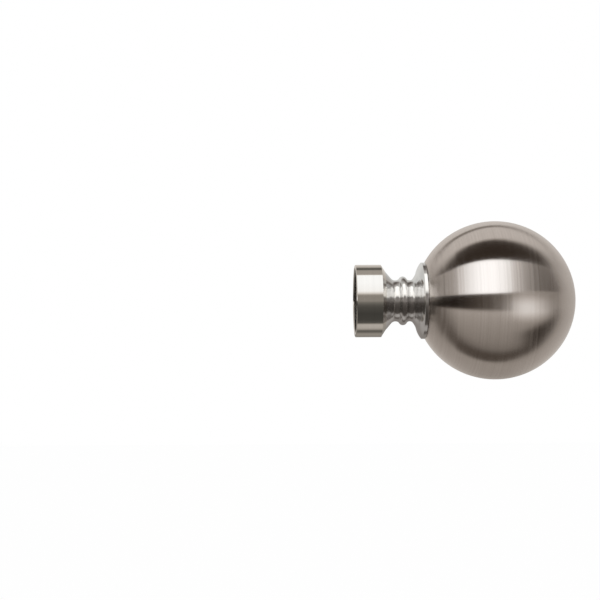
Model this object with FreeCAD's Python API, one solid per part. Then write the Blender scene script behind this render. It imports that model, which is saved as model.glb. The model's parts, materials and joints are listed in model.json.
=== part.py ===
import FreeCAD, Part
import math
import os

# Ball finial with a socket for 28 mm, in millimetres: an end collar, a turned neck and a ball.
# Its axis is X. The ball is towards +X, and +Z is up.
# The origin is the centre of the socket's floor.

Vector = FreeCAD.Vector
AXIS = Vector(1, 0, 0)

# Socket and end collar
pole_diameter = 28.0
socket_clearance = 0.15
collar_wall = 1.6
collar_straight = 11.2
bevel_length = 1.6
bevel_drop = 2.5
end_wall = 3.4
mouth_chamfer = 0.4
rim_chamfer = 0.3

# Neck, from the collar to the ball
neck_inset = 0.1
cone_length = 3.0
cone_tip_diameter = 19.3
first_cove_length = 3.3
first_cove_diameter = 17.9
bead_foot_diameter = 18.9
bead_length = 3.4
bead_diameter = 21.2
second_cove_length = 3.0
second_cove_diameter = 17.9
flare_root_diameter = 20.0
flare_length = 3.3
cup_diameter = 33.2
lip_width = 1.4
lip_land = 0.3
lip_chamfer = 0.12

# Ball
ball_diameter = 68.7
ball_wall = 1.2
seat_clearance = 0.05

# Threaded insert in the base of the ball
insert_shank_diameter = 11.0
insert_flange_diameter = 17.0
insert_flange_thickness = 1.8
insert_body_diameter = 12.0
insert_length = 10.0
insert_clearance = 0.05

# Countersunk fixing screw, M6 x 25
screw_diameter = 6.0
screw_length = 25.0
screw_head_diameter = 12.0
screw_hex = 4.0
screw_hex_depth = 1.9
screw_hole_clearance = 0.3
thread_clearance = 0.05

# Grub screw, M3 x 3, behind and below the collar
grub_diameter = 3.0
grub_length = 3.0
grub_from_mouth = 5.0
grub_angle = 45.0
grub_tip_back = 0.1
grub_hex = 1.5
grub_hex_depth = 1.2
grub_cup_depth = 0.4

# Places along the axis, from the socket's floor
socket_radius = pole_diameter / 2 + socket_clearance
collar_radius = socket_radius + collar_wall
socket_depth = collar_straight + bevel_length - end_wall
mouth_x = -socket_depth
bevel_x = mouth_x + collar_straight
neck_x = end_wall
cone_end_x = neck_x + cone_length
bead_x = cone_end_x + first_cove_length
bead_end_x = bead_x + bead_length
flare_x = bead_end_x + second_cove_length
lip_x = flare_x + flare_length
cup_face_x = lip_x + lip_width

# The ball lies against the inner edge of the cup's lip
ball_radius = ball_diameter / 2
ball_bore_radius = ball_radius - ball_wall
seat_radius = ball_radius + seat_clearance
cup_radius = cup_diameter / 2
lip_inner_radius = cup_radius - lip_land
ball_x = cup_face_x + math.sqrt(seat_radius ** 2 - lip_inner_radius ** 2)

# The screw's head cone, at 90 degrees, seats in the end wall
screw_radius = screw_diameter / 2
screw_hole_radius = screw_radius + screw_hole_clearance
head_radius = screw_head_diameter / 2
shank_hole_radius = insert_shank_diameter / 2 + insert_clearance


def point(x, r):
    return Vector(x, 0, r)


def line(a, b):
    return Part.LineSegment(point(*a), point(*b)).toShape()


def arc(a, middle, b):
    return Part.Arc(point(*a), point(*middle), point(*b)).toShape()


def lathe(edges):
    """Turns a closed profile, drawn as (x, radius), about the axis."""
    face = Part.Face(Part.Wire(edges))
    solid = face.revolve(Vector(0, 0, 0), AXIS, 360)
    return solid


def lathe_outline(points):
    """Turns a profile of straight runs."""
    closed = points + points[:1]
    return lathe([line(a, b) for a, b in zip(closed, closed[1:])])


def sphere_x(radius, r):
    """Where the near side of a sphere about the ball's centre has radius r from the axis."""
    return ball_x - math.sqrt(radius ** 2 - r ** 2)


def sphere_arc(radius, r_from, r_to):
    """A near side arc of a sphere about the ball's centre, between two radii from the axis."""
    r_mid = (r_from + r_to) / 2
    ends = [(sphere_x(radius, r), r) for r in (r_from, r_mid, r_to)]
    return arc(*ends)


def hex_socket(across_flats, depth):
    """A hexagonal socket from x = 0 to x = depth."""
    corner = across_flats / math.sqrt(3)
    turns = [math.radians(60 * k) for k in range(7)]
    ring = [Vector(0, corner * math.cos(t), corner * math.sin(t)) for t in turns]
    return Part.Face(Part.makePolygon(ring)).extrude(Vector(depth, 0, 0))


def end_collar():
    """Turned sleeve with the socket, a bevelled front and a countersunk end wall."""
    sleeve = lathe_outline([
        (mouth_x, socket_radius + mouth_chamfer),
        (mouth_x, collar_radius - rim_chamfer),
        (mouth_x + rim_chamfer, collar_radius),
        (bevel_x, collar_radius),
        (end_wall, collar_radius - bevel_drop),
        (end_wall, screw_hole_radius),
        (head_radius - screw_hole_radius, screw_hole_radius),
        (0, head_radius),
        (0, socket_radius),
        (mouth_x + mouth_chamfer, socket_radius),
    ])
    hole = Part.makeCylinder(grub_diameter / 2 + thread_clearance, 3 * collar_wall,
                             grub_place(socket_radius - collar_wall), grub_direction())
    return sleeve.cut(hole)


def neck():
    """Turned neck: a cone, a bead between two coves, and a cup that is dished to the ball."""
    base_radius = collar_radius - bevel_drop - neck_inset
    cone_tip = (cone_end_x, cone_tip_diameter / 2)
    bead_foot = (bead_x, bead_foot_diameter / 2)
    bead_end = (bead_end_x, bead_foot_diameter / 2)
    flare_root = (flare_x, flare_root_diameter / 2)
    lip_start = (lip_x, cup_radius)
    flare_rise = cup_radius - flare_root_diameter / 2
    flare_turn = (flare_x + 0.44 * flare_length, flare_root_diameter / 2 + 0.44 * flare_rise)
    hollow_bow = (flare_x + 0.25 * flare_length, flare_root_diameter / 2 + 0.2 * flare_rise)
    crown_bow = (flare_x + 0.72 * flare_length, flare_root_diameter / 2 + 0.8 * flare_rise)
    return lathe([
        line((neck_x, screw_hole_radius), (neck_x, base_radius)),
        line((neck_x, base_radius), cone_tip),
        arc(cone_tip, (cone_end_x + 0.5 * first_cove_length, first_cove_diameter / 2), bead_foot),
        arc(bead_foot, (bead_x + 0.5 * bead_length, bead_diameter / 2), bead_end),
        arc(bead_end, (bead_end_x + 0.45 * second_cove_length, second_cove_diameter / 2), flare_root),
        arc(flare_root, hollow_bow, flare_turn),
        arc(flare_turn, crown_bow, lip_start),
        line(lip_start, (cup_face_x - lip_chamfer, cup_radius)),
        line((cup_face_x - lip_chamfer, cup_radius), (cup_face_x, cup_radius - lip_chamfer)),
        line((cup_face_x, cup_radius - lip_chamfer), (cup_face_x, lip_inner_radius)),
        sphere_arc(seat_radius, lip_inner_radius, screw_hole_radius),
        line((sphere_x(seat_radius, screw_hole_radius), screw_hole_radius),
             (neck_x, screw_hole_radius)),
    ])


def ball():
    """Hollow spun ball with one hole in its base for the threaded insert."""
    far_middle = math.sqrt(0.5)
    hole = shank_hole_radius
    return lathe([
        line((sphere_x(ball_bore_radius, hole), hole), (sphere_x(ball_radius, hole), hole)),
        arc((sphere_x(ball_radius, hole), hole),
            (ball_x - ball_radius * far_middle, ball_radius * far_middle),
            (ball_x, ball_radius)),
        arc((ball_x, ball_radius),
            (ball_x + ball_radius * far_middle, ball_radius * far_middle),
            (ball_x + ball_radius, 0)),
        line((ball_x + ball_radius, 0), (ball_x + ball_bore_radius, 0)),
        arc((ball_x + ball_bore_radius, 0),
            (ball_x + ball_bore_radius * far_middle, ball_bore_radius * far_middle),
            (ball_x, ball_bore_radius)),
        arc((ball_x, ball_bore_radius),
            (ball_x - ball_bore_radius * far_middle, ball_bore_radius * far_middle),
            (sphere_x(ball_bore_radius, hole), hole)),
    ])


def ball_insert():
    """Flanged bush, brazed inside the ball's base, that the fixing screw pulls on."""
    shank = insert_shank_diameter / 2
    flange = insert_flange_diameter / 2
    body = insert_body_diameter / 2
    bore = screw_radius + thread_clearance
    flange_front = ball_bore_radius - seat_clearance
    start_x = sphere_x(ball_radius, shank)
    flange_back_x = sphere_x(flange_front, flange) + insert_flange_thickness
    end_x = start_x + insert_length
    return lathe([
        line((start_x, bore), (start_x, shank)),
        line((start_x, shank), (sphere_x(flange_front, shank), shank)),
        sphere_arc(flange_front, shank, flange),
        line((sphere_x(flange_front, flange), flange), (flange_back_x, flange)),
        line((flange_back_x, flange), (flange_back_x, body)),
        line((flange_back_x, body), (end_x, body)),
        line((end_x, body), (end_x, bore)),
        line((end_x, bore), (start_x, bore)),
    ])


def fixing_screw():
    """Countersunk socket screw from the socket's floor through the neck into the insert."""
    tip_chamfer = 0.15 * screw_radius
    screw = lathe_outline([
        (0, 0),
        (0, head_radius),
        (head_radius - screw_radius, screw_radius),
        (screw_length - tip_chamfer, screw_radius),
        (screw_length, screw_radius - tip_chamfer),
        (screw_length, 0),
    ])
    return screw.cut(hex_socket(screw_hex, screw_hex_depth))


def grub_direction():
    """Outward from the axis, behind the collar and below it."""
    turn = math.radians(grub_angle)
    return Vector(0, math.cos(turn), -math.sin(turn))


def grub_place(distance):
    """A point of the grub screw's axis at a distance from the collar's axis."""
    return Vector(mouth_x + grub_from_mouth, 0, 0) + grub_direction() * distance


def grub_screw():
    """Cup point grub screw in the collar's wall, backed off clear of the socket."""
    radius = grub_diameter / 2
    body = lathe_outline([
        (0, 0),
        (0, radius),
        (grub_length - grub_cup_depth, radius),
        (grub_length, radius - grub_cup_depth),
        (grub_length - grub_cup_depth, 0),
    ])
    screw = body.cut(hex_socket(grub_hex, grub_hex_depth))
    screw.Placement = FreeCAD.Placement(
        grub_place(socket_radius + grub_tip_back + grub_length),
        FreeCAD.Rotation(AXIS, grub_direction() * -1))
    return screw


os.makedirs("parts", exist_ok=True)
for make in (end_collar, neck, ball, ball_insert, fixing_screw, grub_screw):
    shape = make()
    if not shape.isValid() or len(shape.Solids) != 1:
        raise ValueError(f"{make.__name__} is not one valid solid")
    shape.exportStep(f"parts/{make.__name__}.step")
    print(f"{make.__name__}: {shape.Volume / 1000:.2f} cm3")
print(f"overall length {ball_x + ball_radius - mouth_x:.2f} mm, socket depth {socket_depth:.2f} mm")
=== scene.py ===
import json
import math

import bmesh
import bpy
from mathutils import Matrix, Vector


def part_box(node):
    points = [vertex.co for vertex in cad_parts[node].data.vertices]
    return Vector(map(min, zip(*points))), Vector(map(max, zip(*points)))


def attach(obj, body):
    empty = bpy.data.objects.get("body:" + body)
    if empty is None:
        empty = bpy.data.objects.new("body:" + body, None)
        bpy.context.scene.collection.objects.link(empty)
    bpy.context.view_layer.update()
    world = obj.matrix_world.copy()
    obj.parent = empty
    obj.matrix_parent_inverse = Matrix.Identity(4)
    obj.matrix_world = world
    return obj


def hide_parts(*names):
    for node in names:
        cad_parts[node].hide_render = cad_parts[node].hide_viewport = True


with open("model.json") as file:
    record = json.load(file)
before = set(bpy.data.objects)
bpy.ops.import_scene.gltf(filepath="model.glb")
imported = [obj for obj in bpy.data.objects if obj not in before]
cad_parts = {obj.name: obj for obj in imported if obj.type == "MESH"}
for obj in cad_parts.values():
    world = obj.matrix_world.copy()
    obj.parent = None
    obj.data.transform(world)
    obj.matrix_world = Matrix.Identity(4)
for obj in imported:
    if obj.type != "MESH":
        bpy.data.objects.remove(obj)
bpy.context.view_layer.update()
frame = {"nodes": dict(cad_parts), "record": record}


# End collar: a short turned steel sleeve, nickel plated, with the finial's socket bored in it.
# Its front edge is bevelled down to the neck, and its end wall is countersunk for the screw.
# It is turned from bar, so its faces keep very fine lines that run round the axis.

MM = 0.001
MICRON = 1e-6
ROOT = "root"


class Wire:
    """A socket of a node tree. Arithmetic on it adds the Math nodes that work it out."""

    def __init__(self, tree, socket):
        self.tree = tree
        self.socket = socket

    def math(self, operation, *others, **settings):
        """One Math node with this wire as its first value."""
        values = dict(enumerate((self, *others)))
        return node(self.tree, "ShaderNodeMath", {"operation": operation, **settings}, values)

    def __add__(self, other):
        return self.math("ADD", other)

    def __sub__(self, other):
        return self.math("SUBTRACT", other)

    def __rsub__(self, other):
        return (self * -1.0).math("ADD", other)

    def __mul__(self, other):
        return self.math("MULTIPLY", other)

    __radd__ = __add__
    __rmul__ = __mul__


def node(tree, kind, settings=None, values=None, out=0):
    """Adds a node, sets its settings, then sets or links its sockets. Returns one output."""
    new = tree.nodes.new(kind)
    for name, value in (settings or {}).items():
        if name == "stops":
            ramp = new.color_ramp
            while len(ramp.elements) < len(value):
                ramp.elements.new(1.0)
            for stop, (place, colour) in zip(ramp.elements, value):
                stop.position = place
                stop.color = (*colour, 1.0)
        else:
            setattr(new, name, value)
    for name, value in (values or {}).items():
        if isinstance(value, Wire):
            tree.links.new(value.socket, new.inputs[name])
        else:
            new.inputs[name].default_value = value
    return Wire(tree, new.outputs[out])


def new_material(name):
    """A material with its Principled shader, and the tree that the shader stands in."""
    material = bpy.data.materials.new(name)
    material.use_nodes = True
    tree = material.node_tree
    shader = next(n for n in tree.nodes if n.type == "BSDF_PRINCIPLED")
    return material, tree, shader


def split(vector):
    """The three numbers of a vector."""
    parts = vector.tree.nodes.new("ShaderNodeSeparateXYZ")
    vector.tree.links.new(vector.socket, parts.inputs[0])
    return [Wire(vector.tree, parts.outputs[k]) for k in "XYZ"]


def lathe_tree():
    """Geometry nodes that turn a profile, a chain of points in the XZ plane, about the X axis."""
    tree = bpy.data.node_groups.new("turned on the lathe", "GeometryNodeTree")
    sockets = tree.interface
    sockets.new_socket("Profile", in_out="INPUT", socket_type="NodeSocketGeometry")
    sockets.new_socket("Facets", in_out="INPUT", socket_type="NodeSocketInt")
    sockets.new_socket("Corner", in_out="INPUT", socket_type="NodeSocketFloat")
    sockets.new_socket("Finish", in_out="INPUT", socket_type="NodeSocketMaterial")
    sockets.new_socket("Turned", in_out="OUTPUT", socket_type="NodeSocketGeometry")
    start = tree.nodes.new("NodeGroupInput")
    given = {socket.name: Wire(tree, socket) for socket in start.outputs if socket.name}
    facets = given["Facets"]
    columns = facets + 1.0
    rows = node(tree, "GeometryNodeAttributeDomainSize", {}, {"Geometry": given["Profile"]})
    grid = node(tree, "GeometryNodeMeshGrid", {}, {"Vertices X": rows, "Vertices Y": columns})
    index = node(tree, "GeometryNodeInputIndex")
    # the small number keeps a whole quotient from falling just short of itself
    row = (index.math("DIVIDE", columns) + 0.0001).math("FLOOR")
    angle = (index - row * columns).math("DIVIDE", facets) * math.tau
    place = node(tree, "GeometryNodeInputPosition")
    on_profile = node(tree, "GeometryNodeSampleIndex", {"data_type": "FLOAT_VECTOR"},
                      {"Geometry": given["Profile"], "Value": place, "Index": row})
    along, _, radius = split(on_profile)
    turned_place = node(tree, "ShaderNodeCombineXYZ", {}, {
        "X": along, "Y": radius * angle.math("SINE"), "Z": radius * angle.math("COSINE")})
    shaped = node(tree, "GeometryNodeSetPosition", {},
                  {"Geometry": grid, "Position": turned_place})
    closed = node(tree, "GeometryNodeMergeByDistance", {},
                  {"Geometry": shaped, "Distance": 0.1 * MICRON})
    smoothed = node(tree, "GeometryNodeSetShadeSmooth", {"domain": "FACE"},
                    {"Geometry": closed, "Shade Smooth": True})
    bend = node(tree, "GeometryNodeInputMeshEdgeAngle")
    sharp = node(tree, "FunctionNodeCompare", {"data_type": "FLOAT", "operation": "GREATER_THAN"},
                 {0: bend, 1: given["Corner"]})
    creased = node(tree, "GeometryNodeSetShadeSmooth", {"domain": "EDGE"},
                   {"Geometry": smoothed, "Selection": sharp, "Shade Smooth": False})
    real = node(tree, "GeometryNodeRealizeInstances", {}, {"Geometry": creased})
    finished = node(tree, "GeometryNodeSetMaterial", {},
                    {"Geometry": real, "Material": given["Finish"]})
    end = tree.nodes.new("NodeGroupOutput")
    tree.links.new(finished.socket, end.inputs["Turned"])
    return tree


LATHE = lathe_tree()
# a bend of more than this shows as an edge
CORNER = math.radians(20.0)


def turned_piece(name, profile, finish, facets=256):
    """Turns a profile of (x, radius) points in metres into a plain mesh object with its finish."""
    chain = bpy.data.meshes.new(name + "_profile")
    points = [(x, 0.0, r) for x, r in profile]
    chain.from_pydata(points, [(k, k + 1) for k in range(len(points) - 1)], [])
    blank = bpy.data.objects.new(name + "_profile", chain)
    bpy.context.scene.collection.objects.link(blank)
    lathe = blank.modifiers.new("lathe", "NODES")
    lathe.node_group = LATHE
    settings = {"Facets": facets, "Corner": CORNER, "Finish": finish}
    for item in LATHE.interface.items_tree:
        if item.in_out == "INPUT" and item.name in settings:
            lathe[item.identifier] = settings[item.name]
    ready = blank.evaluated_get(bpy.context.evaluated_depsgraph_get())
    mesh = bpy.data.meshes.new_from_object(ready)
    bpy.data.objects.remove(blank)
    mesh.name = name
    set_grain(mesh)
    piece = bpy.data.objects.new(name, mesh)
    bpy.context.scene.collection.objects.link(piece)
    return piece


def set_grain(mesh):
    """Sets the texture space, so that sheen is drawn out along the axis of turning."""
    mesh.use_auto_texspace = False
    # sheen is drawn out square to the way from this place, seen from above: far off at the side
    # it gives the X axis, and a little to the left it leaves a direction for the end faces too
    mesh.texspace_location = (-0.1, 1.0, 0.0)
    mesh.texspace_size = (10.0, 1.0, 1.0)


def arc(start, middle, end, steps):
    """Points along the circle through three points, with both ends."""
    (ax, ay), (bx, by), (cx, cy) = start, middle, end
    d = 2 * (ax * (by - cy) + bx * (cy - ay) + cx * (ay - by))
    a2, b2, c2 = ax * ax + ay * ay, bx * bx + by * by, cx * cx + cy * cy
    centre_x = (a2 * (by - cy) + b2 * (cy - ay) + c2 * (ay - by)) / d
    centre_y = (a2 * (cx - bx) + b2 * (ax - cx) + c2 * (bx - ax)) / d
    radius = math.hypot(ax - centre_x, ay - centre_y)
    first = math.atan2(ay - centre_y, ax - centre_x)
    turns = [(math.atan2(y - centre_y, x - centre_x) - first) % math.tau for x, y in (middle, end)]
    sweep = turns[1] if turns[0] < turns[1] else turns[1] - math.tau
    angles = [first + sweep * k / steps for k in range(steps + 1)]
    return [(centre_x + radius * math.cos(t), centre_y + radius * math.sin(t)) for t in angles]


def from_axis(y, z):
    """Distance from the axis of turning."""
    return (y * y + z * z).math("SQRT")


def fine_lines(place, along, spacing, drift):
    """Turning lines: a noise that changes fast along the tool's way and slowly round it."""
    x, y, z = split(place)
    spread = node(place.tree, "ShaderNodeCombineXYZ", {}, {
        "X": along * (1.0 / spacing), "Y": y * (drift / spacing), "Z": z * (drift / spacing)})
    return node(place.tree, "ShaderNodeTexNoise", {"noise_dimensions": "3D"},
                {"Vector": spread, "Scale": 1.0, "Detail": 2.0, "Roughness": 0.6})


def turned_metal(name, colour, roughness, anisotropy, line_depth, line_spacing):
    """Metal with fine turning lines in its shine, its tint and its surface."""
    material, tree, shader = new_material(name)
    place = node(tree, "ShaderNodeTexCoord", out="Object")
    x, y, z = split(place)
    along = x + from_axis(y, z) * FACING_SHARE
    lines = fine_lines(place, along, line_spacing, drift=0.01)
    bands = fine_lines(place, along, line_spacing * 7, drift=0.02)
    tint = lines * 0.5 + bands * 0.5
    dark = tuple(channel * DARKEST for channel in colour)
    light = tuple(min(1.0, channel * LIGHTEST) for channel in colour)
    shade = node(tree, "ShaderNodeMix", {"data_type": "RGBA"},
                 {"Factor": tint, "A": (*dark, 1.0), "B": (*light, 1.0)}, out="Result")
    tree.links.new(shade.socket, shader.inputs["Base Color"])
    varied = lines * ROUGHNESS_SWING + (roughness - ROUGHNESS_SWING / 2)
    tree.links.new(varied.socket, shader.inputs["Roughness"])
    relief = node(tree, "ShaderNodeBump", {}, {"Strength": 1.0, "Distance": line_depth,
                                              "Height": lines})
    tree.links.new(relief.socket, shader.inputs["Normal"])
    shader.inputs["Metallic"].default_value = 1.0
    shader.inputs["Anisotropic"].default_value = anisotropy
    return material


# how fast the lines follow each other across a face square to the axis
FACING_SHARE = 0.4
# how far the lines take the metal's colour and roughness from their mean
DARKEST = 0.90
LIGHTEST = 1.08
ROUGHNESS_SWING = 0.06

collar_low, collar_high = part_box("end_collar")
MOUTH_X = collar_low.x
COLLAR_RADIUS = collar_high.z
SOCKET_RADIUS = frame["record"]["mounts"][0]["dims"]["r_mm"] * MM
COLLAR_FRONT_X = collar_high.x
BEVEL_LENGTH = 1.6 * MM
BEVEL_DROP = 2.5 * MM
RIM_CHAMFER = 0.3 * MM
MOUTH_CHAMFER = 0.4 * MM
SCREW_HOLE_RADIUS = 3.3 * MM
SCREW_HEAD_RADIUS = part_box("fixing_screw")[1].z

collar_nickel = turned_metal("collar_nickel", (0.66, 0.635, 0.60), roughness=0.10, anisotropy=0.7,
                             line_depth=1.0 * MICRON, line_spacing=0.25 * MM)
bevel_end = (COLLAR_FRONT_X, COLLAR_RADIUS - BEVEL_DROP)
collar_profile = [
    (MOUTH_X, SOCKET_RADIUS + MOUTH_CHAMFER),
    (MOUTH_X + MOUTH_CHAMFER, SOCKET_RADIUS),
    (0.0, SOCKET_RADIUS),
    (0.0, SCREW_HEAD_RADIUS),
    (SCREW_HEAD_RADIUS - SCREW_HOLE_RADIUS, SCREW_HOLE_RADIUS),
    (COLLAR_FRONT_X, SCREW_HOLE_RADIUS),
    bevel_end,
    (COLLAR_FRONT_X - BEVEL_LENGTH, COLLAR_RADIUS),
    (MOUTH_X + RIM_CHAMFER, COLLAR_RADIUS),
    (MOUTH_X, COLLAR_RADIUS - RIM_CHAMFER),
    (MOUTH_X, SOCKET_RADIUS + MOUTH_CHAMFER),
]
collar = turned_piece("collar_sleeve", collar_profile, collar_nickel)

# the tapped hole for the grub screw, with a small chamfer that its drill left outside
GRUB_FROM_MOUTH = 5.0 * MM
GRUB_ANGLE = math.radians(45.0)
GRUB_OUT = Vector((0.0, math.cos(GRUB_ANGLE), -math.sin(GRUB_ANGLE)))
HOLE_RADIUS = 1.55 * MM
HOLE_CHAMFER = 0.2 * MM
DRILL_DEPTH = 2.25 * MM
DRILL_LENGTH = 4.0 * MM


def grub_frame(distance):
    """Turns and moves a piece made along X to lie along the grub screw, pointing outwards."""
    turned = Vector((1, 0, 0)).rotation_difference(GRUB_OUT).to_matrix().to_4x4()
    return Matrix.Translation(Vector((MOUTH_X + GRUB_FROM_MOUTH, 0, 0)) + GRUB_OUT * distance) @ turned


drill_profile = [
    (0.0, 0.0),
    (0.0, HOLE_RADIUS),
    (DRILL_DEPTH - HOLE_CHAMFER, HOLE_RADIUS),
    (DRILL_DEPTH + HOLE_CHAMFER, HOLE_RADIUS + 2 * HOLE_CHAMFER),
    (DRILL_LENGTH, HOLE_RADIUS + 2 * HOLE_CHAMFER),
    (DRILL_LENGTH, 0.0),
]
drill = turned_piece("drill", drill_profile, collar_nickel, facets=64)
drill.data.transform(grub_frame(COLLAR_RADIUS - DRILL_DEPTH))
cut = collar.modifiers.new("hole", "BOOLEAN")
cut.operation = "DIFFERENCE"
cut.object = drill
drilled = collar.evaluated_get(bpy.context.evaluated_depsgraph_get())
collar_mesh = bpy.data.meshes.new_from_object(drilled)
collar.modifiers.clear()
collar.data = collar_mesh
collar_mesh.set_sharp_from_angle(angle=CORNER)
set_grain(collar_mesh)
bpy.data.objects.remove(drill)
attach(collar, ROOT)
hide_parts("end_collar")


# Neck: one piece of bright nickel plated steel, turned to a cone, a bead between two coves,
# and a thin cup that is dished to the ball. The fixing screw holds it between collar and ball.

neck_low, neck_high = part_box("neck")
NECK_X = neck_low.x
CUP_FACE_X = neck_high.x
CUP_RADIUS = neck_high.z
NECK_INSET = 0.1 * MM
CONE_LENGTH = 3.0 * MM
CONE_TIP_RADIUS = 9.65 * MM
FIRST_COVE_LENGTH = 3.3 * MM
FIRST_COVE_RADIUS = 8.95 * MM
BEAD_FOOT_RADIUS = 9.45 * MM
BEAD_LENGTH = 3.4 * MM
BEAD_RADIUS = 10.6 * MM
SECOND_COVE_LENGTH = 3.0 * MM
SECOND_COVE_RADIUS = 8.95 * MM
FLARE_ROOT_RADIUS = 10.0 * MM
FLARE_LENGTH = 3.3 * MM
LIP_LAND = 0.3 * MM
LIP_CHAMFER = 0.12 * MM

ball_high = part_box("ball")[1]
BALL_RADIUS = ball_high.z
BALL_X = ball_high.x - BALL_RADIUS
SEAT_CLEARANCE = 0.05 * MM
SEAT_RADIUS = BALL_RADIUS + SEAT_CLEARANCE
SEAT_STEPS = 24


def ball_side_x(radius, r):
    """Where the side of a sphere round the ball's centre that faces the neck has radius r."""
    return BALL_X - math.sqrt(radius ** 2 - r ** 2)


neck_nickel = turned_metal("neck_nickel", (0.73, 0.725, 0.72), roughness=0.13, anisotropy=0.6,
                           line_depth=1.3 * MICRON, line_spacing=1.2 * MM)
cone_end_x = NECK_X + CONE_LENGTH
bead_x = cone_end_x + FIRST_COVE_LENGTH
bead_end_x = bead_x + BEAD_LENGTH
flare_x = bead_end_x + SECOND_COVE_LENGTH
cone_tip = (cone_end_x, CONE_TIP_RADIUS)
first_cove_floor = (cone_end_x + 0.5 * FIRST_COVE_LENGTH, FIRST_COVE_RADIUS)
bead_foot = (bead_x, BEAD_FOOT_RADIUS)
bead_crest = (bead_x + 0.5 * BEAD_LENGTH, BEAD_RADIUS)
bead_end = (bead_end_x, BEAD_FOOT_RADIUS)
second_cove_floor = (bead_end_x + 0.45 * SECOND_COVE_LENGTH, SECOND_COVE_RADIUS)


def on_flare(length_share, rise_share):
    """A point of the flare, by its shares of the flare's length and of its rise to the lip."""
    flare_rise = CUP_RADIUS - FLARE_ROOT_RADIUS
    return flare_x + length_share * FLARE_LENGTH, FLARE_ROOT_RADIUS + rise_share * flare_rise


flare_root = on_flare(0.0, 0.0)
hollow_bow = on_flare(0.25, 0.20)
flare_turn = on_flare(0.44, 0.44)
crown_bow = on_flare(0.72, 0.80)
lip_start = on_flare(1.0, 1.0)
lip_inner = CUP_RADIUS - LIP_LAND
seat_rise = lip_inner - SCREW_HOLE_RADIUS
seat_radii = [SCREW_HOLE_RADIUS + seat_rise * k / SEAT_STEPS for k in range(SEAT_STEPS + 1)]
neck_profile = [
    (NECK_X, SCREW_HOLE_RADIUS),
    *[(ball_side_x(SEAT_RADIUS, r), r) for r in seat_radii],
    (CUP_FACE_X, CUP_RADIUS - LIP_CHAMFER),
    (CUP_FACE_X - LIP_CHAMFER, CUP_RADIUS),
    *arc(lip_start, crown_bow, flare_turn, steps=14),
    *arc(flare_turn, hollow_bow, flare_root, steps=10)[1:],
    *arc(flare_root, second_cove_floor, bead_end, steps=16)[1:],
    *arc(bead_end, bead_crest, bead_foot, steps=24)[1:],
    *arc(bead_foot, first_cove_floor, cone_tip, steps=16)[1:],
    (NECK_X, COLLAR_RADIUS - BEVEL_DROP - NECK_INSET),
    (NECK_X, SCREW_HOLE_RADIUS),
]
neck = turned_piece("turned_neck", neck_profile, neck_nickel)
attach(neck, ROOT)
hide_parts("neck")


# Ball: a hollow ball spun from steel sheet and plated in a warm satin nickel. It is brushed
# while it turns about the axis, so its sheen is drawn out sideways and its lines are circles.

BALL_WALL = 1.2 * MM
BALL_HOLE_RADIUS = 5.55 * MM
BALL_BORE = BALL_RADIUS - BALL_WALL
SATIN_DARK = (0.55, 0.51, 0.48)
SATIN_LIGHT = (0.66, 0.62, 0.59)
SATIN_ROUGHNESS = 0.16
SATIN_SWING = 0.08
FINE_SPACING = 0.7 * MM
BROAD_SPACING = 2.2 * MM
LINE_CONTRAST = 2.2
# relief of the brushing in millimetres: of the lines, and of the zones by the share of the
# radius that lies before or past the middle
FINE_RELIEF = 0.012
BROAD_RELIEF = 0.022
ZONE_RELIEF = [(-1.0, 0.0), (-0.728, 0.0), (-0.578, 0.30), (0.025, 0.30), (0.231, 0.10),
               (0.36, 0.02), (0.531, 0.0), (1.0, 0.0)]


def levels(value, pairs, peak=2.0):
    """A number read from (value, number) pairs, straight between them. None is above the peak."""
    first, last = pairs[0][0], pairs[-1][0]
    table = [((place - first) / (last - first), (level / peak,) * 3) for place, level in pairs]
    share = (value - first) * (1.0 / (last - first))
    return node(value.tree, "ShaderNodeValToRGB", {"stops": table}, {"Fac": share}) * peak


def brushed_nickel(name):
    """Satin nickel brushed as the ball turned: fine circles over wider polished zones."""
    material, tree, shader = new_material(name)
    place = node(tree, "ShaderNodeTexCoord", out="Object")
    x, y, z = split(place)
    round_ball = from_axis(y, z).math("ARCTAN2", BALL_X - x) * BALL_RADIUS
    along = round_ball + (BALL_X - BALL_RADIUS * math.pi / 2)
    fine = fine_lines(place, along, FINE_SPACING, drift=0.002)
    broad = fine_lines(place, along, BROAD_SPACING, drift=0.001)
    lines = (fine * 0.6 + broad * 0.4 - 0.5) * LINE_CONTRAST + 0.5
    shade = node(tree, "ShaderNodeMix", {"data_type": "RGBA"},
                 {"Factor": lines, "A": (*SATIN_DARK, 1.0), "B": (*SATIN_LIGHT, 1.0)}, out="Result")
    tree.links.new(shade.socket, shader.inputs["Base Color"])
    tree.links.new((lines * SATIN_SWING + SATIN_ROUGHNESS).socket, shader.inputs["Roughness"])
    # the brush left wider zones too, each at a slope of its own
    zones = levels((x - BALL_X) * (1 / BALL_RADIUS), ZONE_RELIEF, peak=0.5)
    height = zones + broad * BROAD_RELIEF + fine * FINE_RELIEF
    relief = node(tree, "ShaderNodeBump", {}, {"Strength": 1.0, "Distance": MM, "Height": height})
    tree.links.new(relief.socket, shader.inputs["Normal"])
    shader.inputs["Metallic"].default_value = 1.0
    shader.inputs["Anisotropic"].default_value = 1.0
    return material


ball_nickel = brushed_nickel("ball_nickel")


def sphere_points(radius, r_first, steps):
    """Points of a half circle about the ball's centre, from radius r_first at the base on."""
    first = math.pi - math.asin(r_first / radius)
    angles = [first * (1 - k / steps) for k in range(steps + 1)]
    return [(BALL_X + radius * math.cos(t), radius * math.sin(t)) for t in angles]


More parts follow.
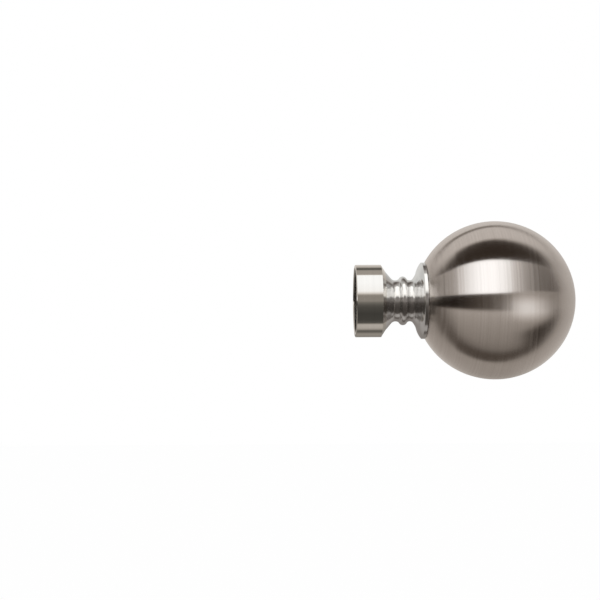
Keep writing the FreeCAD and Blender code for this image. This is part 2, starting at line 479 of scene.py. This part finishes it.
outside = sphere_points(BALL_RADIUS, BALL_HOLE_RADIUS, steps=128)
inside = sphere_points(BALL_BORE, BALL_HOLE_RADIUS, steps=64)
ball_profile = [*inside[::-1], *outside]
ball = turned_piece("spun_ball", ball_profile, ball_nickel, facets=320)
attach(ball, ROOT)
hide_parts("ball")


# Grub screw: a zinc plated steel M3 cup point screw with a 1.5 mm hex socket. Its thread runs
# along most of it, and it is backed off, so it stands out of the collar behind and below.

THREAD_PITCH = 0.5 * MM
THREAD_RADIUS = 1.5 * MM
THREAD_DEPTH = 0.27 * MM
THREAD_START = 0.2 * MM
THREAD_ROWS = 45
ROWS_PER_TURN = 10
# half the width of the thread's groove, as a share of the pitch
GROOVE_HALF_WIDTH = 0.42
THREAD_CORNER = math.radians(35.0)
GRUB_FACETS = 60
GRUB_LENGTH = 3.0 * MM
GRUB_BACK = 0.1 * MM
POINT_LENGTH = 0.1 * MM
POINT_RADIUS = 1.2 * MM
POINT_HOLLOW_RADIUS = 1.1 * MM
POINT_HOLLOW_DEPTH = 0.4 * MM
SHOULDER_LENGTH = 0.12 * MM
SHOULDER_RADIUS = 1.32 * MM
OUTER_END_RADIUS = 1.2 * MM
HEX_ACROSS_FLATS = 1.5 * MM
HEX_DEPTH = 1.2 * MM
HEX_DRILL_DEPTH = 1.45 * MM


def thread_row(x):
    """One row of points round the thread: its radius rises and falls once on the way."""
    radii = []
    for k in range(GRUB_FACETS):
        phase = (x / THREAD_PITCH - k / GRUB_FACETS) % 1.0
        groove = max(0.0, 1.0 - abs(phase - 0.5) / GROOVE_HALF_WIDTH)
        radii.append(THREAD_RADIUS - THREAD_DEPTH * groove)
    return x, radii


def hex_row(x):
    """One row of points round the hex socket, with its six corners."""
    radii = []
    for k in range(GRUB_FACETS):
        from_flat = math.radians((360.0 * k / GRUB_FACETS) % 60.0 - 30.0)
        radii.append(HEX_ACROSS_FLATS / 2 / math.cos(from_flat))
    return x, radii


def round_row(x, radius):
    """One row of points round a plain circle."""
    return x, [radius] * GRUB_FACETS


def mesh_through(name, rows):
    """A closed mesh through rows, each a place along X and its radii, with a point at each end."""
    count = len(rows[1][1])
    points = [(rows[0][0], 0.0, 0.0)]
    for x, radii in rows[1:-1]:
        for k, radius in enumerate(radii):
            angle = math.tau * k / count
            points.append((x, radius * math.cos(angle), radius * math.sin(angle)))
    points.append((rows[-1][0], 0.0, 0.0))
    last = len(points) - 1
    faces = []
    for row in range(len(rows) - 3):
        for k in range(count):
            here = 1 + row * count + k
            beside = 1 + row * count + (k + 1) % count
            faces.append((here, beside, beside + count, here + count))
    for k in range(count):
        faces.append((0, 1 + (k + 1) % count, 1 + k))
        faces.append((last, last - count + k, last - count + (k + 1) % count))
    mesh = bpy.data.meshes.new(name)
    mesh.from_pydata(points, [], faces)
    mesh.shade_smooth()
    mesh.set_sharp_from_angle(angle=THREAD_CORNER)
    return mesh


screw_zinc = turned_metal("screw_zinc", (0.60, 0.61, 0.62), roughness=0.28, anisotropy=0.0,
                          line_depth=2.0 * MICRON, line_spacing=0.2 * MM)
thread_places = [THREAD_START + k * THREAD_PITCH / ROWS_PER_TURN for k in range(THREAD_ROWS)]
grub_rows = [
    (POINT_HOLLOW_DEPTH, []),
    round_row(0.0, POINT_HOLLOW_RADIUS),
    round_row(POINT_LENGTH, POINT_RADIUS),
    *[thread_row(x) for x in thread_places],
    round_row(GRUB_LENGTH - SHOULDER_LENGTH, SHOULDER_RADIUS),
    round_row(GRUB_LENGTH, OUTER_END_RADIUS),
    hex_row(GRUB_LENGTH),
    hex_row(GRUB_LENGTH - HEX_DEPTH),
    (GRUB_LENGTH - HEX_DRILL_DEPTH, []),
]
grub_mesh = mesh_through("grub_thread", grub_rows)
grub_mesh.transform(grub_frame(SOCKET_RADIUS + GRUB_BACK))
grub_mesh.materials.append(screw_zinc)
grub = bpy.data.objects.new("grub_thread", grub_mesh)
bpy.context.scene.collection.objects.link(grub)
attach(grub, ROOT)
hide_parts("grub_screw")


# Fixing screw and insert: a zinc plated countersunk screw, whose hex socket shows in the floor
# of the collar's socket, and a brass bush inside the ball that it pulls on.

insert_brass = turned_metal("insert_brass", (0.72, 0.56, 0.30), roughness=0.25, anisotropy=0.0,
                            line_depth=2.0 * MICRON, line_spacing=0.3 * MM)
for name, finish in (("fixing_screw", screw_zinc), ("ball_insert", insert_brass)):
    mesh = frame["nodes"][name].data
    mesh.materials.clear()
    mesh.materials.append(finish)


# Studio: the photograph shows the collar, the neck and the ball under lamps of their own. So
# each has its own room round it, a large shell that glows inwards: a pale sweep behind, a long
# strip lamp above the camera and a dark front. A white floor lies well below the hung finial.

def smooth(value, low, high):
    """0 before low and 1 after high, with a soft step between them."""
    return node(value.tree, "ShaderNodeMapRange", {"interpolation_type": "SMOOTHSTEP"},
                {"Value": value, "From Min": low, "From Max": high})


def mix(mask, first, second):
    """The first number where the mask is 0, and the second where it is 1."""
    return node(mask.tree, "ShaderNodeMix", {}, {"Factor": mask, "A": first, "B": second})


def degrees_up(back, up):
    """Angle about the axis in degrees: 0 towards the camera, 90 overhead, 180 behind."""
    return up.math("ARCTAN2", back * -1.0) * (180 / math.pi)


# the glow at which the list of a room's colours would end
WARMTH_PEAK = 2.0


def add_room(name, radius, pattern, warmth, pieces):
    """A shell that glows inwards with a pattern, seen only in the shine of the given pieces."""
    shell = bmesh.new()
    bmesh.ops.create_icosphere(shell, subdivisions=3, radius=radius)
    mesh = bpy.data.meshes.new(name)
    shell.to_mesh(mesh)
    shell.free()
    room = bpy.data.objects.new(name, mesh)
    bpy.context.scene.collection.objects.link(room)
    glow = bpy.data.materials.new(name)
    glow.use_nodes = True
    glow.cycles.emission_sampling = "NONE"
    tree = glow.node_tree
    tree.nodes.clear()
    place = node(tree, "ShaderNodeTexCoord", out="Object")
    direction = node(tree, "ShaderNodeVectorMath", {"operation": "NORMALIZE"}, {0: place})
    level = pattern(direction)
    tint = node(tree, "ShaderNodeValToRGB", {"stops": warmth}, {"Fac": level * (1 / WARMTH_PEAK)})
    shine = node(tree, "ShaderNodeEmission", {}, {"Color": tint, "Strength": level})
    # the shell is clear as well, so that no room hides what lies beyond it
    clear = node(tree, "ShaderNodeBsdfTransparent")
    both = node(tree, "ShaderNodeAddShader", {}, {0: shine, 1: clear})
    output = tree.nodes.new("ShaderNodeOutputMaterial")
    tree.links.new(both.socket, output.inputs["Surface"])
    mesh.materials.append(glow)
    room.visible_camera = False
    room.visible_diffuse = False
    room.visible_shadow = False
    lit = bpy.data.collections.new(name + " lights")
    for piece in pieces:
        lit.objects.link(piece)
    room.light_linking.receiver_collection = lit


# colours of the rooms by their glow, as a share of the peak: the darker, the warmer
COLLAR_WARMTH = [(0.0, (1.0, 0.97, 0.88)), (0.08, (1.0, 0.95, 0.85)), (0.2, (1.0, 0.92, 0.83)),
                 (0.4, (1.0, 0.95, 0.90)), (0.6, (0.99, 0.975, 0.96)), (0.75, (0.96, 0.985, 1.01))]
BALL_WARMTH = [(0.0, (1.0, 0.70, 0.50)), (0.08, (1.0, 0.88, 0.78)), (0.2, (1.0, 0.91, 0.83)),
               (0.4, (1.0, 0.95, 0.90)), (0.6, (0.99, 0.975, 0.96)), (0.75, (0.96, 0.98, 1.0))]
NECK_WARMTH = [(0.0, (1.0, 0.86, 0.74)), (0.08, (1.0, 0.885, 0.80)), (0.2, (1.0, 0.935, 0.88)),
               (0.35, (0.985, 0.98, 0.95)), (0.6, (1.0, 0.965, 0.90)), (0.75, (0.99, 0.98, 0.96))]


def round_room(direction, glow_by_turn):
    """Glow of a room round a turned piece, by the angle about its axis, with plainer ends."""
    side, back, up = split(direction)
    turn = degrees_up(back, up)
    middle = levels(turn, glow_by_turn)
    ends = levels(turn, [
        (-180, 0.45), (-140, 0.42), (-100, 0.32), (-80, 0.07), (-60, 0.05), (-10, 0.12),
        (0, 0.30), (17, 0.38), (24, 1.2), (58, 1.3), (68, 0.80), (90, 0.60), (130, 0.62),
        (180, 0.55)])
    return mix(smooth(side.math("ABSOLUTE"), 0.3, 0.7), middle, ends)


def collar_room(direction):
    """The collar's room: a wide lamp above the middle and a narrow one under it."""
    return round_room(direction, [
        (-180, 0.30), (-150, 0.31), (-135, 0.38), (-127, 0.38), (-120, 0.24), (-113, 0.15),
        (-107, 0.18), (-101, 0.45), (-94, 0.60), (-80, 0.64), (-77, 0.40), (-73, 0.12),
        (-62, 0.08), (-40, 0.07), (-20, 0.10), (-12, 0.14), (-4, 0.24), (0, 0.36), (17.5, 0.36),
        (21, 0.60), (24, 0.95), (27.5, 1.20), (31, 1.40), (60, 1.50), (88.5, 1.50), (92, 0.48),
        (112, 0.46), (119, 0.14), (127, 0.13), (134, 0.52), (150, 0.80), (180, 0.70)])


def neck_room(direction):
    """The neck's room: as the collar's, with a dimmer lower lamp and a paler left end behind."""
    side, back, up = split(direction)
    turn = degrees_up(back, up)
    paler = 1.0 - side * smooth(back, -0.5, 0.1) * smooth(turn, -120.0, -104.0) * 0.3
    crease = smooth(turn, 98.0, 110.0) * smooth(turn, 136.0, 128.0) * smooth(side, -0.3, 0.1)
    return paler * (1.0 - crease * 0.5) * round_room(direction, [
        (-180, 0.30), (-160, 0.28), (-135, 0.29), (-127, 0.27), (-120, 0.20), (-113, 0.13),
        (-107, 0.17), (-101, 0.40), (-94, 0.45), (-82, 0.41), (-78, 0.20), (-74, 0.10),
        (-62, 0.08), (-40, 0.07), (-20, 0.10), (-12, 0.14), (-4, 0.22), (0, 0.27), (20.5, 0.27),
        (24, 0.60), (27, 0.95), (30, 1.20), (34, 1.40), (87, 1.50), (91, 0.56),
        (100, 0.50), (112, 0.42), (119, 0.28), (127, 0.28), (134, 0.54), (150, 0.76), (180, 0.70)])


# the front of the ball's room lies a little to the left, as the photograph shows the ball
BALL_ROOM_TURN = math.radians(10.94)
ROOM_FRONT = (-math.sin(BALL_ROOM_TURN), -math.cos(BALL_ROOM_TURN), 0.0)
ROOM_RIGHT = (math.cos(BALL_ROOM_TURN), -math.sin(BALL_ROOM_TURN), 0.0)
# a small soft lamp: where it shows, as shares of the ball's radius, its reach and its glow
SPOT_RIGHT = 0.42
SPOT_UP = -0.085
SPOT_WIDTH = 0.22
SPOT_HEIGHT = 0.175
SPOT_GLOW = 0.88


def ball_room(direction):
    """Glow of the room round the ball, laid out by where on the ball each part of it shows."""
    tree = direction.tree
    side, back, up = split(direction)
    # a part shows where the ball's surface faces halfway between that part and the front
    halfway = node(tree, "ShaderNodeVectorMath", {"operation": "ADD"},
                   {0: direction, 1: ROOM_FRONT})
    normal = node(tree, "ShaderNodeVectorMath", {"operation": "NORMALIZE"}, {0: halfway})
    hit_side, hit_back, hit_up = split(normal)
    right = hit_side * ROOM_RIGHT[0] + hit_back * ROOM_RIGHT[1]
    rise = degrees_up(hit_back, hit_up)
    # the plain front of the room: a warm grey low wall that grows dark towards its edges
    wall = levels(rise, [(-60, 0.10), (-50, 0.15), (-43, 0.17), (-38, 0.27), (-30, 0.36),
                         (-18, 0.45), (-9, 0.54), (32, 0.50)])
    wall = mix(smooth(back + right * 0.1, -0.30, -0.02), wall, 0.105)
    # its lower right corner is nearly black
    corner = smooth(right, 0.33, 0.42) * smooth(hit_up - right * 0.60, -0.58, -0.66)
    wall = mix(corner, wall, 0.035)
    # the dark gap below the strip, deepest at the left
    gap = levels(right, [(-0.8, 0.012), (-0.36, 0.02), (-0.25, 0.06), (-0.1, 0.09), (0.05, 0.14),
                         (0.15, 0.22), (0.3, 0.5), (0.6, 0.38), (0.8, 0.22)])
    wall = mix(smooth(rise, -9.0, -5.5), wall, gap)
    # the small soft lamp at the right, under the strip
    spot_x = (right - SPOT_RIGHT) * (1 / SPOT_WIDTH)
    spot_z = (hit_up - SPOT_UP) * (1 / SPOT_HEIGHT)
    away = (spot_x * spot_x + spot_z * spot_z).math("SQRT")
    wall = wall + smooth(away, 1.25, 0.0) * SPOT_GLOW
    # the strip lamp, brightest before the camera, and the dark ceiling over it
    strip = levels(right, [(-0.72, 0.23), (-0.60, 0.33), (-0.53, 0.46), (-0.40, 0.60),
                           (-0.36, 1.20), (-0.22, 1.7), (-0.08, 1.93), (0.04, 1.93), (0.16, 1.5),
                           (0.26, 1.0), (0.34, 0.56), (0.45, 0.28), (0.55, 0.18), (0.70, 0.11),
                           (0.80, 0.12)], peak=2.4)
    low_edge = rise - levels(right, [(-1.0, 4.9), (0.1, 4.9), (0.35, 6.6), (1.0, 7.2)], peak=8.0)
    high_edge = rise - levels(right, [(-1.0, 28.0), (-0.6, 29.8), (-0.3, 31.0), (-0.1, 30.9),
                                      (0.14, 29.5), (0.37, 28.4), (0.63, 27.4), (1.0, 26.5)],
                              peak=32.0)
    wall = mix(smooth(low_edge, -0.4, 0.4), wall, strip)
    wall = mix(smooth(high_edge, -0.4, 0.4), wall,
               levels(rise, [(26, 0.065), (36, 0.044), (60, 0.058)]))
    # the sweep behind is pale, with one fold in it
    sweep = levels(back, [(0.1, 0.40), (0.3, 0.43), (0.55, 0.46), (0.8, 0.52), (1.0, 0.62)])
    sweep = sweep * (1.0 + smooth(right, 0.2, 1.0) * 0.40 - smooth(hit_up, -0.8, -1.0) * 0.25)
    sweep = mix(smooth(up, -0.1, 0.6), sweep, 0.76)
    fold = degrees_up(back, up) - smooth(right, -0.3, -0.7) * 8.0
    sweep = sweep * (1.0 - smooth(fold, 128.5, 133.0) * smooth(fold, 140.5, 136.0) * 0.65)
    # the front of the room ends here and the sweep begins, with a bulge at the upper right
    bulge = smooth(hit_up, 0.1, 0.6) * smooth(right, 0.15, 0.65)
    edge = back + right * 0.16 + (hit_up * 0.09 + 0.02) * hit_up - bulge * 0.11
    return mix(smooth(edge, 0.12, 0.27), wall, sweep)


inner_pieces = [frame["nodes"][name] for name in ("fixing_screw", "ball_insert")]
# the rooms differ in size, in metres, so that no two shells lie in one place
add_room("collar_room", 4.0, collar_room, COLLAR_WARMTH, [collar, grub, *inner_pieces])
add_room("neck_room", 4.5, neck_room, NECK_WARMTH, [neck])
add_room("ball_room", 5.0, ball_room, BALL_WARMTH, [ball])

FLOOR_Z = -0.35
FLOOR_HALF = 2.0
# to the camera the floor is nearly all plain white, and the rest of it is lit and takes shadow
PLAIN_WHITE_SHARE = 0.95
floor_corners = [(x * FLOOR_HALF, y * FLOOR_HALF, FLOOR_Z)
                 for x, y in ((-1, -1), (1, -1), (1, 1), (-1, 1))]
floor_mesh = bpy.data.meshes.new("floor")
floor_mesh.from_pydata(floor_corners, [], [(0, 1, 2, 3)])
floor = bpy.data.objects.new("floor", floor_mesh)
bpy.context.scene.collection.objects.link(floor)
floor.visible_glossy = False
floor_white, tree, shader = new_material("floor_white")
shader.inputs["Base Color"].default_value = (0.9, 0.9, 0.9, 1.0)
shader.inputs["Roughness"].default_value = 0.9
seen = node(tree, "ShaderNodeLightPath", out="Is Camera Ray")
glow = node(tree, "ShaderNodeEmission", {}, {"Color": (1, 1, 1, 1), "Strength": 1.0})
lit = Wire(tree, shader.outputs[0])
both = node(tree, "ShaderNodeMixShader", {}, {0: seen * PLAIN_WHITE_SHARE, 1: lit, 2: glow})
output = next(n for n in tree.nodes if n.type == "OUTPUT_MATERIAL")
tree.links.new(both.socket, output.inputs["Surface"])
floor_mesh.materials.append(floor_white)

# the world is white all round, but not in the shine of the metal, which shows the rooms
world = bpy.data.worlds.new("studio")
bpy.context.scene.world = world
world.use_nodes = True
tree = world.node_tree
tree.nodes.clear()
glossy = node(tree, "ShaderNodeLightPath", out="Is Glossy Ray")
sky = node(tree, "ShaderNodeBackground", {}, {"Color": (1, 1, 1, 1), "Strength": 1.0 - glossy})
output = tree.nodes.new("ShaderNodeOutputWorld")
tree.links.new(sky.socket, output.inputs["Surface"])


# Camera: level with the axis and 0.44 m away, straight before the middle of the photograph, so
# that the finial lies at the right. Its places come from the photograph's pixels, at the scale
# that the finial's real size gives them in the plane of the axis.

PIXEL = 0.4355 * MM
IMAGE_PX = 600.0
# how far the collar's mouth lies from the photograph's left edge
MOUTH_PX = 354.85
# how far the camera stands off, and how far the axis lies below the photograph's middle
CAMERA_PX = 1000.0
AXIS_BELOW_CENTRE_PX = 1.43
ROLL = math.radians(0.33)
SENSOR_WIDTH = 36.0
camera_data = bpy.data.cameras.new("camera")
camera_data.sensor_width = SENSOR_WIDTH
camera_data.lens = SENSOR_WIDTH * CAMERA_PX / IMAGE_PX
camera_data.clip_start = 0.01
camera_data.clip_end = 20.0
camera = bpy.data.objects.new("camera", camera_data)
bpy.context.scene.collection.objects.link(camera)
camera.location = (MOUTH_X - (MOUTH_PX - IMAGE_PX / 2) * PIXEL, -CAMERA_PX * PIXEL,
                   AXIS_BELOW_CENTRE_PX * PIXEL)
camera.rotation_euler = (math.pi / 2, ROLL, 0.0)
bpy.context.scene.camera = camera
bpy.context.scene.view_settings.view_transform = "Standard"
